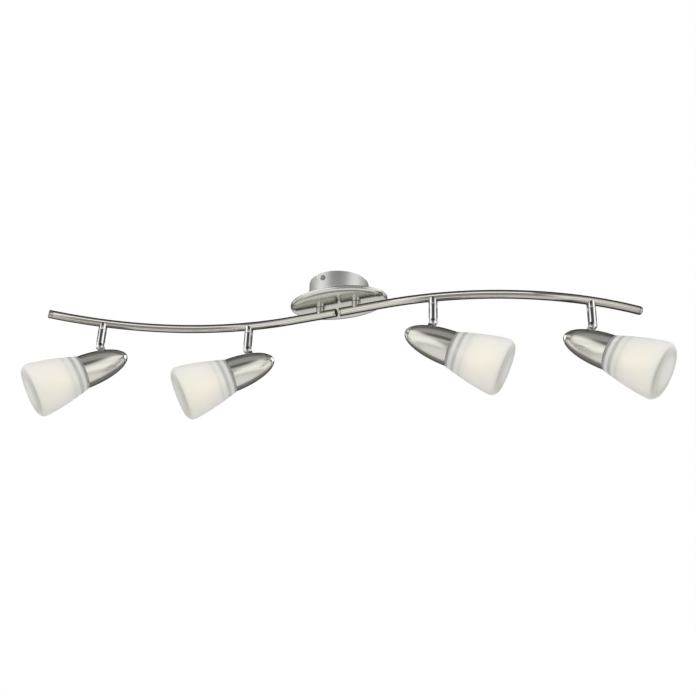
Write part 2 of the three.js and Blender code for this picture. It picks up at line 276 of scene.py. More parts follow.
class Tree:
    """A node tree, with short calls to add and link nodes."""

    def __init__(self, tree):
        self.tree = tree

    def add(self, kind, **settings):
        node = self.tree.nodes.new(kind)
        for key, value in settings.items():
            setattr(node, key, value)
        return node

    def link(self, output, target):
        self.tree.links.new(output, target)

    def feed(self, value, target):
        """A socket gets either a number or a link."""
        if isinstance(value, (int, float)):
            target.default_value = value
        else:
            self.link(value, target)

    def math(self, operation, *values):
        node = self.add("ShaderNodeMath", operation=operation)
        for value, target in zip(values, node.inputs):
            self.feed(value, target)
        return node.outputs["Value"]

    def step(self, value, low, high):
        """A smooth rise from 0 at low to 1 at high; low may be the larger."""
        node = self.add("ShaderNodeMapRange", interpolation_type="SMOOTHSTEP")
        self.link(value, node.inputs["Value"])
        node.inputs["From Min"].default_value = min(low, high)
        node.inputs["From Max"].default_value = max(low, high)
        node.inputs["To Min"].default_value = 0.0 if low < high else 1.0
        node.inputs["To Max"].default_value = 1.0 if low < high else 0.0
        return node.outputs["Result"]


class Nodes(Tree):
    """A material's node tree."""

    def __init__(self, name):
        self.material = bpy.data.materials.new(name)
        self.material.use_nodes = True
        super().__init__(self.material.node_tree)
        self.shader = self.tree.nodes["Principled BSDF"]

    def set(self, **values):
        for key, value in values.items():
            self.shader.inputs[key.replace("_", " ")].default_value = value

    def place_from(self, scale):
        """Object coordinates stretched by scale, as a vector output."""
        coordinates = self.add("ShaderNodeTexCoord")
        mapping = self.add("ShaderNodeMapping")
        mapping.inputs["Scale"].default_value = scale
        self.link(coordinates.outputs["Object"], mapping.inputs["Vector"])
        return mapping.outputs["Vector"]

    def toward(self):
        """1 where the surface faces the eye, 0 at its outline."""
        layer = self.add("ShaderNodeLayerWeight")
        return self.math("SUBTRACT", 1.0, layer.outputs["Facing"])

    def noise(self, vector, scale, detail=3.0, roughness=0.55):
        node = self.add("ShaderNodeTexNoise")
        node.inputs["Scale"].default_value = scale
        node.inputs["Detail"].default_value = detail
        node.inputs["Roughness"].default_value = roughness
        self.link(vector, node.inputs["Vector"])
        return node.outputs["Fac"]

    def ramp(self, factor, stops):
        node = self.add("ShaderNodeValToRGB")
        ramp = node.color_ramp
        while len(ramp.elements) < len(stops):
            ramp.elements.new(0.5)
        for element, (position, color) in zip(ramp.elements, stops):
            element.position = position
            element.color = color if len(color) == 4 else (*color, 1.0)
        self.link(factor, node.inputs["Fac"])
        return node.outputs["Color"]

    def spread(self, factor, low, high):
        """A 0 to 1 factor mapped to low to high."""
        node = self.add("ShaderNodeMapRange")
        node.inputs["To Min"].default_value = low
        node.inputs["To Max"].default_value = high
        self.link(factor, node.inputs["Value"])
        return node.outputs["Result"]

    def bump(self, height, distance, strength=1.0):
        node = self.add("ShaderNodeBump")
        node.inputs["Distance"].default_value = distance
        node.inputs["Strength"].default_value = strength
        self.link(height, node.inputs["Height"])
        self.link(node.outputs["Normal"], self.shader.inputs["Normal"])


def grey(value):
    return (value, value, value)


def brushed_metal(name, color, stretch, roughness=(0.2, 0.32), grain=0.000012, edge=None):
    """Plated metal with a fine brushed grain; stretch makes the grain long along one axis.

    An edge of (brightness, full) paints shade at grazing angles, darkening the colour towards the outline:
    the brightness at the very edge, and how far the surface must face the eye (0 to 1) for the full colour.
    """
    nodes = Nodes(name)
    nodes.set(Metallic=1.0)
    streaks = nodes.noise(nodes.place_from(stretch), 1.0, 4.0, 0.7)
    cloud = nodes.noise(nodes.place_from((1, 1, 1)), 35.0, 3.0)
    tone = nodes.add("ShaderNodeMix", data_type="RGBA")
    tone.inputs["A"].default_value = (*[c * 0.93 for c in color], 1)
    tone.inputs["B"].default_value = (*[min(1, c * 1.05) for c in color], 1)
    nodes.link(cloud, tone.inputs["Factor"])
    finish = tone.outputs["Result"]
    if edge:
        brightness, full = edge
        # painted shade: the colour darkens towards the outline, where the surface turns away from the eye
        shade = nodes.add("ShaderNodeMix", data_type="RGBA")
        shade.inputs["A"].default_value = (*[c * brightness for c in color], 1)
        nodes.link(finish, shade.inputs["B"])
        nodes.link(nodes.step(nodes.toward(), full * 0.5, full), shade.inputs["Factor"])
        finish = shade.outputs["Result"]
    nodes.link(finish, nodes.shader.inputs["Base Color"])
    nodes.link(nodes.spread(streaks, *roughness), nodes.shader.inputs["Roughness"])
    nodes.bump(streaks, grain)
    return nodes.material


def polished_metal(name, color, roughness=(0.03, 0.09)):
    """Chrome plate with faint wipe marks and a very slight waviness."""
    nodes = Nodes(name)
    nodes.set(Metallic=1.0)
    nodes.shader.inputs["Base Color"].default_value = (*color, 1)
    smears = nodes.noise(nodes.place_from((1, 1, 1)), 90.0, 4.0)
    nodes.link(nodes.spread(smears, *roughness), nodes.shader.inputs["Roughness"])
    nodes.bump(nodes.noise(nodes.place_from((1, 1, 1)), 160.0, 2.0), 0.000006)
    return nodes.material


def dull_solid(name, color, roughness, speck=900.0, depth=0.00003):
    """Moulded nylon or fired ceramic: a fine speckle in colour, roughness and bump."""
    nodes = Nodes(name)
    grains = nodes.noise(nodes.place_from((1, 1, 1)), speck, 4.0)
    dark = tuple(c * 0.9 for c in color)
    nodes.link(nodes.ramp(grains, [(0.3, dark), (0.7, color)]), nodes.shader.inputs["Base Color"])
    nodes.link(nodes.spread(grains, roughness - 0.08, roughness + 0.08), nodes.shader.inputs["Roughness"])
    nodes.bump(grains, depth)
    return nodes.material


def frosted_glass(name):
    """Etched glass, milky all over but for clearer rings near the neck.

    The rings, the painted glow and highlight and the painted shadow and shade of the thick front
    are told apart by the distance from the neck; the rings' darker tone is partly painted shade.
    """
    nodes = Nodes(name)
    coordinates = nodes.add("ShaderNodeTexCoord")
    split = nodes.add("ShaderNodeSeparateXYZ")
    nodes.link(coordinates.outputs["Object"], split.inputs["Vector"])
    reach = GLASS_FRONT - BODY_LENGTH
    share = nodes.add("ShaderNodeMapRange")
    share.inputs["From Min"].default_value = BODY_LENGTH * MM
    share.inputs["From Max"].default_value = GLASS_FRONT * MM
    nodes.link(split.outputs["X"], share.inputs["Value"])
    toward = nodes.toward()

    def along(bands):
        """A value that changes with the distance in mm from the neck."""
        return nodes.ramp(share.outputs["Result"], [(at / reach, grey(value)) for at, value in bands])

    frost = along([(0.0, 0.0), (3.6, 0.0), (4.6, 1.0), (8.6, 1.0), (9.6, 0.3), (13.4, 0.3), (14.4, 1.0),
                   (19.0, 1.0), (20.2, 0.75), (23.0, 0.75), (24.5, 1.0), (reach, 1.0)])
    # painted glow: the bulb's warm light painted along the middle of the glass
    glow = along([(16.0, 0.0), (24.0, 0.35), (32.0, 0.8), (40.0, 1.0), (65.0, 1.0), (69.0, 0.4), (71.0, 0.0)])
    # painted highlight: a warm bright band just behind the front's rounding
    gleam = along([(58.0, 0.0), (63.0, 1.0), (67.0, 1.0), (70.5, 0.0)])
    # painted shadow: a dark arc on the front's rounding, on the side facing the eye
    shadow = along([(69.5, 0.0), (72.0, 1.0), (73.0, 1.0), (73.6, 0.0)])
    disc = along([(73.0, 0.0), (73.5, 1.0), (reach, 1.0)])
    from_axis = nodes.math("SQRT", nodes.math("ADD", nodes.math("POWER", split.outputs["Y"], 2.0),
                                              nodes.math("POWER", split.outputs["Z"], 2.0)))
    # painted shade on the thick front, darker towards its rim
    rim = nodes.step(from_axis, 12.0 * MM, 28.0 * MM)
    nodes.set(IOR=1.45, Subsurface_Weight=1.0, Subsurface_Scale=0.006)
    nodes.shader.inputs["Subsurface Radius"].default_value = (1.0, 0.95, 0.85)
    nodes.link(nodes.spread(frost, 0.5, 0.3), nodes.shader.inputs["Transmission Weight"])
    etched = nodes.noise(nodes.place_from((1, 1, 1)), 1400.0, 3.0)
    nodes.link(nodes.math("MULTIPLY_ADD", etched, 0.1, nodes.spread(frost, 0.32, 0.45)),
               nodes.shader.inputs["Roughness"])
    # the clearer rings take the darker tone A: partly their own clearer glass, partly painted shade for the dark
    # ring and holder seen through them
    tone = nodes.add("ShaderNodeMix", data_type="RGBA")
    tone.inputs["A"].default_value = (0.60, 0.62, 0.59, 1)
    tone.inputs["B"].default_value = (0.92, 0.93, 0.91, 1)
    nodes.link(frost, tone.inputs["Factor"])
    # painted glow and painted highlight warm the colour where the glass faces the eye
    painted_warm_light = nodes.add("ShaderNodeMix", data_type="RGBA")
    painted_warm_light.inputs["B"].default_value = (0.96, 0.93, 0.86, 1)
    nodes.link(tone.outputs["Result"], painted_warm_light.inputs["A"])
    middle = nodes.math("MULTIPLY", glow, nodes.math("POWER", toward, 2.0))
    nodes.link(nodes.math("MAXIMUM", middle, nodes.math("MULTIPLY", gleam, toward)), painted_warm_light.inputs["Factor"])
    # painted shadow and painted shade: darker khaki over the arc and the front's rim
    shaded = nodes.add("ShaderNodeMix", data_type="RGBA")
    shaded.inputs["B"].default_value = (0.44, 0.42, 0.35, 1)
    near_shadow = nodes.math("MULTIPLY", shadow, toward)
    front_shade = nodes.math("MULTIPLY", disc, nodes.math("MULTIPLY_ADD", rim, 0.40, 0.04))
    nodes.link(nodes.math("ADD", near_shadow, front_shade), shaded.inputs["Factor"])
    nodes.link(painted_warm_light.outputs["Result"], shaded.inputs["A"])
    nodes.link(shaded.outputs["Result"], nodes.shader.inputs["Base Color"])
    # painted glow: the glass itself emits, strongest in the middle where it faces the eye
    nodes.shader.inputs["Emission Color"].default_value = (1.0, 0.80, 0.48, 1)
    nodes.link(nodes.math("MULTIPLY", middle, 0.1), nodes.shader.inputs["Emission Strength"])
    nodes.bump(etched, 0.00001)
    return nodes.material


def lit_bulb(name):
    nodes = Nodes(name)
    coordinates = nodes.add("ShaderNodeTexCoord")
    split = nodes.add("ShaderNodeSeparateXYZ")
    nodes.link(coordinates.outputs["Object"], split.inputs["Vector"])
    share = nodes.add("ShaderNodeMapRange")
    share.inputs["From Min"].default_value = HOLDER_FACE * MM
    share.inputs["From Max"].default_value = BULB_TIP * MM
    nodes.link(split.outputs["X"], share.inputs["Value"])
    warm = nodes.ramp(share.outputs["Result"], [
        (0.0, (0.25, 0.2, 0.15)), (0.25, (1.0, 0.75, 0.45)), (0.6, (1.0, 0.86, 0.62)), (1.0, (1.0, 0.8, 0.52))])
    nodes.link(warm, nodes.shader.inputs["Emission Color"])
    nodes.set(Emission_Strength=1.1, Roughness=0.1)
    nodes.shader.inputs["Base Color"].default_value = (1.0, 0.95, 0.85, 1)
    return nodes.material


NICKEL = (0.66, 0.645, 0.60)
CHROME = (0.80, 0.81, 0.81)
DRAWN_NICKEL = (0.56, 0.545, 0.495)
CANOPY_NICKEL = (0.70, 0.705, 0.685)
# the turned and drawn nickel take painted shade towards their outlines (edge)
nickel_turned = brushed_metal("satin_nickel_turned", NICKEL, (4000, 150, 150), (0.19, 0.27), 0.000006,
                              edge=(0.3, 0.5))
nickel_drawn = brushed_metal("satin_nickel_drawn", DRAWN_NICKEL, (300, 700, 700), (0.09, 0.13), 0.000001,
                             edge=(0.08, 0.95))
nickel_plate = brushed_metal("satin_nickel_plate", NICKEL, (700, 700, 700), (0.17, 0.23), 0.000004)
nickel_canopy = brushed_metal("satin_nickel_canopy", CANOPY_NICKEL, (700, 700, 700), (0.38, 0.46), 0.000004)
chrome = polished_metal("polished_chrome", CHROME)
cap_chrome = polished_metal("soft_chrome", CHROME, (0.10, 0.16))
# painted shade: a darker copy of the chrome, used on the screws and the tongue
dark_chrome = polished_metal("shaded_chrome", (0.32, 0.32, 0.31))
zinc = brushed_metal("zinc_plate", (0.55, 0.57, 0.60), (300, 300, 300), (0.35, 0.55), 0.00002)
nylon = dull_solid("white_nylon", (0.86, 0.85, 0.81), 0.5)
ceramic = dull_solid("lamp_ceramic", (0.86, 0.84, 0.79), 0.6, 1500.0)
glass = frosted_glass("frosted_glass")
bulb_glass = lit_bulb("lit_bulb_glass")
for glowing in (glass, bulb_glass):
    glowing.cycles.emission_sampling = "NONE"  # the glow is too faint to be worth a light of its own

# ---------- bar ----------


def rod_point(station):
    """The tube's centre line in plan, mirrored through the middle of the bar for a negative station."""
    side = -1 if station < 0 else 1
    station = abs(station)
    turn = (ROD_LENGTH - ROD_STRAIGHT) / ROD_BEND_RADIUS
    reach = ROD_STRAIGHT + ROD_BEND_RADIUS * math.sin(turn)
    rise = ROD_BEND_RADIUS * (1 - math.cos(turn))
    angle = max(0.0, station - ROD_STRAIGHT) / ROD_BEND_RADIUS
    along = min(station, ROD_STRAIGHT) + ROD_BEND_RADIUS * math.sin(angle)
    across = ROD_BEND_RADIUS * (1 - math.cos(angle))
    point = Matrix.Rotation(-math.atan2(rise, reach), 2) @ Vector((along, across))
    return point * side


def rod_heading(station):
    ahead = rod_point(station + 0.5) - rod_point(station - 0.5)
    return math.atan2(ahead.y, ahead.x)


def rod_shape(sides=48, steps=160):
    """A bent tube with softened ends, as a loop of rings: outside to the outer end, then back inside."""
    start, end = ROD_GAP, ROD_LENGTH - END_CAP_REACH
    soft = 0.35
    outside = [(start, TUBE_RADIUS - soft), (start + soft, TUBE_RADIUS)]
    outside += [(start + (end - start) * k / steps, TUBE_RADIUS) for k in range(1, steps)]
    outside += [(end - soft, TUBE_RADIUS), (end, TUBE_RADIUS - soft)]
    bore = TUBE_RADIUS - TUBE_WALL
    inside = [(end + (start - end) * k / 60, bore) for k in range(61)]
    verts = []
    faces = []
    rings = outside + inside
    for station, radius in rings:
        centre = rod_point(station)
        heading = rod_heading(station)
        for k in range(sides):
            angle = 2 * math.pi * k / sides
            across = radius * math.cos(angle)
            verts.append((centre.x - across * math.sin(heading), centre.y + across * math.cos(heading),
                          -ROD_DROP + radius * math.sin(angle)))
    for ring in range(len(rings)):
        follow = (ring + 1) % len(rings)
        for k in range(sides):
            n = (k + 1) % sides
            faces.append((ring * sides + k, ring * sides + n, follow * sides + n, follow * sides + k))
    return verts, faces


def rod_hole_tools(half):
    """Drills for one tube: from below for each stem's spigot, from above for the post's wires."""
    through = TUBE_RADIUS + 1
    drills = [(abs(LAMPS["right_inner"]), SPIGOT_HOLE_RADIUS, -ROD_DROP - through, -ROD_DROP),
              (abs(LAMPS["right_outer"]), SPIGOT_HOLE_RADIUS, -ROD_DROP - through, -ROD_DROP),
              (POST_STATION, POST_HOLE_RADIUS, -ROD_DROP, -ROD_DROP + through)]
    tools = []
    for station, radius, low, high in drills:
        point = rod_point(station)
        drill = turned([(low, 0), (low, radius), (high, radius), (high, 0)], 48)
        tools.append(make("tool", drill, None, half @ place(point.x, point.y) @ UPRIGHT))
    return tools


def plug_outline(reach, edge):
    """A plug inside the tube, with a shoulder as wide as the tube and its rim rounded by edge."""
    bore = TUBE_RADIUS - TUBE_WALL - 2 * GAP
    shoulder = rounded([(GAP, TUBE_RADIUS), (reach, TUBE_RADIUS, edge), (reach, 0)], steps=8)
    return [(-PLUG_DEPTH, 0), (-PLUG_DEPTH, bore), (GAP, bore)] + shoulder


def bar():
    for side, turn in (("right", 0.0), ("left", math.pi)):
        half = Matrix.Rotation(turn, 4, "Z")
        rod = make(f"bent_tube_{side}", rod_shape(), nickel_drawn, half)
        cut(rod, rod_hole_tools(half))
        settle(rod, "bar", "satin_nickel", f"rod_{side}")
        outer = ROD_LENGTH - END_CAP_REACH
        heading = rod_heading(outer)
        point = rod_point(outer)
        cap = make(f"tube_end_cap_{side}", turned(plug_outline(END_CAP_REACH, 2.0), 64), nickel_drawn,
                   half @ place(point.x, point.y, -ROD_DROP, heading))
        settle(cap, "bar", "satin_nickel", f"rod_end_cap_{side}")
        point = rod_point(ROD_GAP)
        plug = make(f"tube_inner_plug_{side}", turned(plug_outline(INNER_PLUG_REACH, 1.2), 64), nickel_drawn,
                    half @ place(point.x, point.y, -ROD_DROP, rod_heading(ROD_GAP) + math.pi))
        settle(plug, "bar", "satin_nickel", f"rod_inner_plug_{side}")
        support(side, half)


def support(side, half):
    """The post between plate and tube, hollow for the wires, and its nut inside the canopy."""
    point = rod_point(POST_STATION)
    spot = half @ place(point.x, point.y, 0, rod_heading(POST_STATION))
    top = PLATE_LOW - GAP
    outline = rounded([
        (-ROD_DROP, 1.8), (-ROD_DROP, POST_RADIUS), (top - 1.2, POST_RADIUS, 0.2),
        (top - 1.2, POST_RADIUS - 0.5, 0.1), (top - 0.9, POST_RADIUS - 0.5, 0.1), (top - 0.9, POST_RADIUS, 0.2),
        (top, POST_RADIUS),
        (top, 3.0), (-17.8, 3.0), (-17.8, 1.8)], 0.3, 3, True)
    post = make(f"post_{side}_turned", turned(outline, 64, True), chrome, spot @ UPRIGHT)
    cut(post, [saddle_tool(spot)])
    settle(post, "bar", "satin_nickel", f"post_{side}")
    repaint(f"post_nut_{side}", zinc)


def repaint(node, material):
    """A CAD node whose shape is right keeps it and gets a better material."""
    cad = frame["nodes"][node]
    cad.data.materials.clear()
    cad.data.materials.append(material)


# ---------- canopy and plate ----------


def canopy():
    inner = CANOPY_RADIUS - CANOPY_WALL
    low = -CANOPY_HEIGHT
    outline = rounded([
        (low, 0), (low, CANOPY_RADIUS, 2.6), (0, CANOPY_RADIUS, 0.3), (0, inner, 0.3),
        (low + CANOPY_WALL, inner, 1.6), (low + CANOPY_WALL, 0)], 0.3, 8)
    cup = make("canopy_shell", turned(outline, 160), nickel_canopy, UPRIGHT.copy())
    tools = [notch_tool()]
    for turn in (0, 180):
        angle = math.radians(CANOPY_SCREW_ANGLE + turn)
        hole = turned([(-4, 0), (-4, 2.2), (4, 2.2), (4, 0)], 32)
        spot = Matrix.Rotation(angle, 4, "Z") @ place(CANOPY_RADIUS - 1, 0, -CANOPY_SCREW_DROP)
        tools.append(make("tool", hole, None, spot))
    cut(cup, tools)
    settle(cup, "bar", "satin_nickel", "canopy_cup")
    for name, turn in (("canopy_screw_front", 0), ("canopy_screw_rear", 180)):
        side_screw(name, math.radians(CANOPY_SCREW_ANGLE + turn))


def notch_tool():
    """A slot with a round bottom, open at the rim."""
    half = NOTCH_HALF_WIDTH
    outline = [(half, 4), (-half, 4)]
    outline += [(-half * math.cos(a), -NOTCH_STRAIGHT - half * math.sin(a))
                for a in [math.pi * k / 12 for k in range(13)]]
    around = Matrix.Rotation(math.radians(CANOPY_NOTCH_ANGLE), 4, "Z")
    return make("tool", slab(outline, -4, 4, 0.01), None, around @ place(CANOPY_RADIUS - 1, 0, 0, -math.pi / 2))


def side_screw(node, angle):
    """A pan-head screw with a driver slot, in the canopy's side."""
    spot = Matrix.Rotation(angle, 4, "Z") @ place(CANOPY_RADIUS + GAP, 0, -CANOPY_SCREW_DROP)
    shank, head_radius, head_height = 1.7, 3.4, 1.8
    outline = rounded([
        (-5, 0), (-5, shank, 0.4), (0, shank, 0), (0, head_radius, 0.2), (0.7, head_radius, 0.3),
        (head_height, 2.4, 1.0), (head_height, 0)], 0.3, 4)
    screw = make(f"{node}_turned", turned(outline, 48), dark_chrome, spot)
    slot_tool = make("tool", box_shape(1.0, 3, -0.45, 0.45, -4, 4), None, spot)
    cut(screw, [slot_tool])
    settle(screw, "bar", "chrome", node)


def oval_shape(profile, sides=200):
    """A dish from (inset, height) pairs: each ring is the plate's oval moved inward by its inset."""
    verts = []
    faces = []
    count = len(profile)
    for inset, height in profile:
        for k in range(sides):
            angle = 2 * math.pi * k / sides
            verts.append(((PLATE_HALF_LENGTH - inset) * math.cos(angle),
                          (PLATE_HALF_WIDTH - inset) * math.sin(angle), height))
    for ring in range(count - 1):
        for k in range(sides):
            n = (k + 1) % sides
            base, above = ring * sides, (ring + 1) * sides
            faces.append((base + k, base + n, above + n, above + k))
    faces.append(tuple(range(sides)))
    faces.append(tuple(reversed(range((count - 1) * sides, count * sides))))
    return verts, faces


def cover_plate():
    """The oval dish under the canopy: its outer face first, then its inner face, as (inset, height)."""
    sheet = 1.4
    rim = [(7.5 + 8, PLATE_LOW), (7.5, PLATE_LOW, 1.5), (2.2, PLATE_LOW + 1.0, 1.5), (0, PLATE_LOW + 3.2, 1.2),
           (0, PLATE_TOP, 0.3), (sheet, PLATE_TOP, 0.3), (sheet, PLATE_LOW + 3.6, 1.2),
           (3.0, PLATE_LOW + 2.4, 1.2), (8.2, PLATE_LOW + sheet, 1.2), (16, PLATE_LOW + sheet)]
    plate = make("oval_plate", oval_shape(rounded(rim, 0.3, 6)), nickel_plate,
                 Matrix.Rotation(math.radians(PLATE_ANGLE), 4, "Z"))
    settle(plate, "bar", "satin_nickel", "cover_plate")


# ---------- arms ----------


def arm(lamp, station):
    """The collar follows the tube; the stem and its screw follow the direction that the lamp is turned to."""
    point = rod_point(station)
    pan_axis = Vector(joints[f"tilt_{lamp}"]["axis"])
    pan = math.atan2(-pan_axis.x, pan_axis.y)
    base = place(point.x, point.y, 0, rod_heading(abs(station)) + (math.pi if station < 0 else 0))
    turned_base = place(point.x, point.y, 0, pan)
    tube_collar(lamp, base)
    stem(lamp, turned_base)
    pivot_screw(lamp, turned_base)


def saddle_tool(base):
    """The tube's place in a post or collar, with a little room around it."""
    radius = TUBE_RADIUS + SADDLE_CLEARANCE
    shape = turned([(-20, 0), (-20, radius), (20, radius), (20, 0)], 64)
    return make("tool", shape, None, base @ place(0, 0, -ROD_DROP))


def cross_hole_tool(spot):
    """The drill for the fork's cross screw, through the stem and through the tongue."""
    shape = turned([(-10, 0), (-10, CROSS_HOLE_RADIUS), (10, CROSS_HOLE_RADIUS), (10, 0)], 32)
    return make("tool", shape, None, spot)


def tube_collar(lamp, base):
    bore = SPIGOT_HOLE_RADIUS
    outline = rounded([
        (COLLAR_LOW, bore, 0.1), (COLLAR_LOW, TUBE_RADIUS, 0.5), (-ROD_DROP, TUBE_RADIUS, 0), (-ROD_DROP, bore, 0)],
        0.3, 4, True)
    piece = make(f"collar_{lamp}", turned(outline, 64, True), chrome, base @ UPRIGHT)
    cut(piece, [saddle_tool(base)])
    settle(piece, "bar", "chrome", f"stem_collar_{lamp}")


def stem(lamp, base):
    """The swivelling tube: a flat top with its spigot, a round-ended fork below."""
    top = COLLAR_LOW - GAP
    dome = [(-PIVOT_DROP - TUBE_RADIUS * math.cos(a), TUBE_RADIUS * math.sin(a))
            for a in [math.pi / 2 * k / 14 for k in range(1, 15)]]
    head_low, head_top = -ROD_DROP - 1.6, -ROD_DROP - 0.8
    outline = [(-PIVOT_DROP - TUBE_RADIUS, 0)] + dome + rounded([
        (top - 8, TUBE_RADIUS), (top, TUBE_RADIUS, 0.5), (top, SPIGOT_RADIUS, 0.1), (head_low, SPIGOT_RADIUS, 0),
        (head_low, SPIGOT_HEAD_RADIUS, 0.1), (head_top, SPIGOT_HEAD_RADIUS, 0.2), (head_top, 0)], 0.3, 4)
    piece = make(f"stem_{lamp}", turned(outline, 72), chrome, base @ UPRIGHT)
    half = SLOT_WIDTH / 2
    slot_top = -PIVOT_DROP + 6.5
    slot_outline = [(9, -PIVOT_DROP - 12), (9, slot_top), (-9, slot_top), (-9, -PIVOT_DROP - 12)]
    slot_tool = make("tool", slab(slot_outline, -half, half, 0.01), None, base)
    cut(piece, [slot_tool, cross_hole_tool(base @ place(0, 0, -PIVOT_DROP, math.pi / 2))])
    settle(piece, f"stem_{lamp}", "chrome", f"stem_tube_{lamp}")


def pivot_screw(lamp, base):
    """The fork's cross screw: a low round head with a driver slot at each end."""
    reach = TUBE_RADIUS + GAP
    outline = rounded([
        (-reach - 1.4, 0), (-reach - 1.4, 2.2, 0.5), (-reach - 0.5, 3.0, 0.4), (-reach, 3.0, 0.1),
        (-reach, CROSS_PIN_RADIUS, 0), (reach, CROSS_PIN_RADIUS, 0), (reach, 3.0, 0.1), (reach + 0.5, 3.0, 0.4),
        (reach + 1.4, 2.2, 0.5), (reach + 1.4, 0)], 0.3, 4)
    spot = base @ place(0, 0, -PIVOT_DROP, math.pi / 2)
    piece = make(f"cross_screw_{lamp}", turned(outline, 48), dark_chrome, spot)
    slot_floor, half_width = reach + 0.9, 0.4
    slots = [box_shape(side * slot_floor - 0.001, side * (reach + 3), -half_width, half_width, -4, 4)
             for side in (-1, 1)]
    cut(piece, [make("tool", slot, None, spot) for slot in slots])
    settle(piece, f"stem_{lamp}", "chrome", f"pivot_screw_{lamp}")


# ---------- heads ----------


def bullet_radius(station):
    return BODY_RADIUS * math.sqrt(1 - (1 - station / BODY_LENGTH) ** 2)


def glass_radius(station):
    share = (station - BODY_LENGTH) / (GLASS_FRONT - GLASS_EDGE_RADIUS - BODY_LENGTH)
    return GLASS_NECK_RADIUS + (GLASS_MAX_RADIUS - GLASS_NECK_RADIUS) * (1 - (1 - min(1, share)) ** GLASS_FLARE)


def head_matrix(lamp):
    """Places lamp coordinates: stations from the bullet's tip along +X, the lamp axis on X."""
    joint = joints[f"tilt_{lamp}"]
    axis = Vector(joint["axis"])
    pan = math.atan2(-axis.x, axis.y)
    tilt = math.radians(TILT_STOP - joint["range_deg"][1])
    pivot = Matrix.Translation(Vector(joint["pos_m"]))
    turn = Matrix.Rotation(pan, 4, "Z") @ Matrix.Rotation(tilt, 4, "Y")
    return pivot @ turn @ place(-PIVOT_STATION, 0, -AXIS_DROP)


def head(lamp):
    body = f"head_{lamp}"
    spot = head_matrix(lamp)
    settle(lamp_body(lamp, spot), body, "satin_nickel", f"lamp_body_{lamp}")
    settle(end_cap(lamp, spot), body, "chrome", f"end_cap_{lamp}")
    settle(knuckle(lamp, spot), body, "chrome", f"knuckle_{lamp}")
    settle(holder(lamp, spot), body, "ceramic", f"lamp_holder_{lamp}")
    settle(shade_ring(lamp, spot), body, "zinc_steel", f"shade_ring_{lamp}")
    settle(shade(lamp, spot), body, "frosted_glass", f"glass_shade_{lamp}", f"glass_front_{lamp}")
    settle(bulb(lamp, spot), body, "bulb_glass", f"bulb_{lamp}")


def lamp_body(lamp, spot):
    start = CAP_LENGTH + GAP
    count = 44
    shoulder = start + SEAM_DEPTH
    stations = [shoulder + (BODY_LENGTH - shoulder) * (k / count) ** 1.25 for k in range(count + 1)]
    outer = [(s, bullet_radius(s), 0) for s in stations[:-1]]
    inner = [(s, r - BODY_WALL, 0) for s, r, _ in reversed(outer)]
    ends = bullet_radius(start), bullet_radius(BODY_LENGTH)
    rim = [(BODY_LENGTH, ends[1], 0.4), (BODY_LENGTH, ends[1] - BODY_WALL, 0.2)]
    outline = rounded([(start, ends[0] - SEAM_DEPTH, 0.1)] + outer + rim + inner
                      + [(start, ends[0] - BODY_WALL, 0.2)], 0.3, 4, True)
    piece = make(f"bullet_{lamp}", turned(outline, 128, True), nickel_turned, spot)
    half_x, half_y = TONGUE_RADIUS + GAP, TONGUE_THICKNESS / 2 + GAP
    window = box_shape(PIVOT_STATION - half_x, PIVOT_STATION + half_x, -half_y, half_y, 12, 30)
    return cut(piece, [make("tool", window, None, spot)])


def end_cap(lamp, spot):
    count = 20
    shoulder = CAP_LENGTH - SEAM_DEPTH
    stations = [shoulder * (k / count) ** 2 for k in range(1, count + 1)]
    outer = [(s, bullet_radius(s), 0) for s in stations]
    plug = bullet_radius(CAP_LENGTH) - BODY_WALL - 2 * GAP
    plug_end = CAP_LENGTH + 4
    outline = rounded([(0, 0)] + outer + [
        (CAP_LENGTH, bullet_radius(CAP_LENGTH) - SEAM_DEPTH, 0.1), (CAP_LENGTH, plug, 0.1), (plug_end, plug, 0.4),
        (plug_end, 0)], 0.3, 4)
    return make(f"cap_{lamp}", turned(outline, 128), cap_chrome, spot)


def knuckle(lamp, spot):
    """A flat tongue with a round top about the pivot; its foot holds it inside the body."""
    foot = bullet_radius(PIVOT_STATION) - BODY_WALL - 4.5
    r = TONGUE_RADIUS
    outline = [(PIVOT_STATION - r, foot), (PIVOT_STATION + r, foot)]
    outline += [(PIVOT_STATION + r * math.cos(a), AXIS_DROP + r * math.sin(a))
                for a in [math.pi * k / 24 for k in range(25)]]
    half = TONGUE_THICKNESS / 2
    piece = make(f"tongue_{lamp}", slab(outline, -half, half, 0.35), dark_chrome, spot)
    return cut(piece, [cross_hole_tool(spot @ place(PIVOT_STATION, 0, AXIS_DROP, math.pi / 2))])


def holder(lamp, spot):
    outline = rounded([
        (HOLDER_BACK, 0), (HOLDER_BACK, 9, 0.8), (HOLDER_BACK + 4, HOLDER_RADIUS, 0.6),
        (HOLDER_FACE, HOLDER_RADIUS, 0.6), (HOLDER_FACE, 0)], 0.5, 4)
    piece = make(f"holder_{lamp}", turned(outline, 64), ceramic, spot)
    tool = make("tool", box_shape(HOLDER_FACE - 2.5, HOLDER_FACE + 2.5, -6, 6, -6, 6), None, spot)
    return cut(piece, [tool])


def shade_ring(lamp, spot):
    back, front = BODY_LENGTH - 6, BODY_LENGTH + 7
    flange = bullet_radius(back) - BODY_WALL - 2 * GAP
    neck = GLASS_NECK_BORE - 2 * GAP
    outline = rounded([
        (back, RING_BORE), (back, flange), (BODY_LENGTH - 1, flange), (BODY_LENGTH - 1, neck), (front, neck),
        (front, neck - 2.4), (BODY_LENGTH + 1, neck - 2.4), (BODY_LENGTH + 1, RING_BORE)], 0.3, 3, True)
    return make(f"ring_{lamp}", turned(outline, 96, True), zinc, spot)


